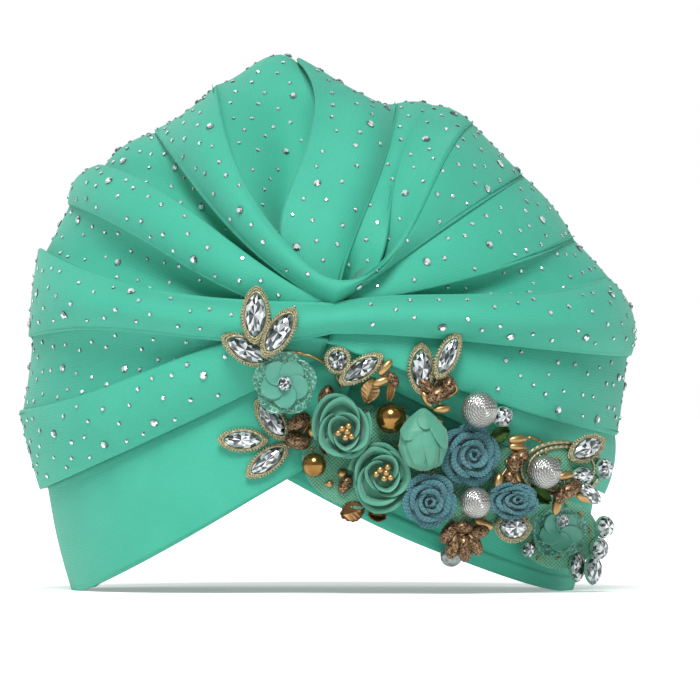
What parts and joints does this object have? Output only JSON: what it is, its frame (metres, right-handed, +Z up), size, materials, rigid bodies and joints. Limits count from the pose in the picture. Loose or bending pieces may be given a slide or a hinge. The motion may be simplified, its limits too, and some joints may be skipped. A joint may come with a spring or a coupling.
{
  "type": "turban hat",
  "caption": "Ready-sewn turban hat in mint-green knit: pleats fan out from a knot above crossed bands, with a jewelled corsage of ribbon roses, cut stones and pearls across one side.",
  "frame": {"origin": "on the surface that the hat stands on, under the middle of its box", "axes": "+Z up, the front with the knot towards -Y, the wearer's left side towards +X"},
  "size_m": [0.2156, 0.2209, 0.1877],
  "materials": {
    "cloth": "matte",
    "lace": "matte",
    "crystal": "polished",
    "sequin": "gloss",
    "gold": "polished",
    "bronze": "satin",
    "pearl": "gloss",
    "mint_ribbon": "matte",
    "blue_ribbon": "matte",
    "green": "matte"
  },
  "bodies": {
    "root": {"crown": "cloth", "band_left": "cloth", "band_right": "cloth", "lace_centre": "lace", "lace_right": "lace", "wing_upper": "lace", "wing_lower": "lace", "crystal_knot_1": "crystal", "crystal_knot_2": "crystal", "crystal_knot_3": "crystal", "crystal_band_1": "crystal", "crystal_band_2": "crystal", "crystal_band_3": "crystal", "crystal_centre_1": "crystal", "crystal_centre_2": "crystal", "crystal_roll_1": "crystal", "crystal_roll_2": "crystal", "crystal_wing_1": "crystal", "crystal_wing_2": "crystal", "crystal_wing_3": "crystal", "crystal_wing_4": "crystal", "crystal_tip_1": "crystal", "crystal_tip_2": "crystal", "crystal_tip_3": "crystal", "crystal_tip_4": "crystal", "crystal_pear": "crystal", "crystal_small": "crystal", "crystal_leaf": "crystal", "sequin_flower_1": "sequin", "sequin_flower_2": "sequin", "leaf_gold_1": "gold", "leaf_gold_2": "gold", "leaf_bronze_1": "bronze", "leaf_bronze_2": "bronze", "leaf_green_1": "green", "leaf_green_2": "green", "leaf_glitter": "bronze", "spray_left": "bronze", "spray_upper": "bronze", "spray_top": "bronze", "spray_lower": "bronze", "spray_right_1": "bronze", "spray_right_2": "bronze", "rose_mint_1": "mint_ribbon", "rose_mint_2": "mint_ribbon", "rose_blue_1": "blue_ribbon", "rose_blue_2": "blue_ribbon", "rose_blue_3": "blue_ribbon", "rose_mint_bud": "mint_ribbon", "ball_gold_1": "gold", "ball_gold_2": "gold", "pearl_1": "pearl", "pearl_2": "pearl", "pearl_3": "pearl", "ball_glass": "crystal"}
  },
  "joints": []
}
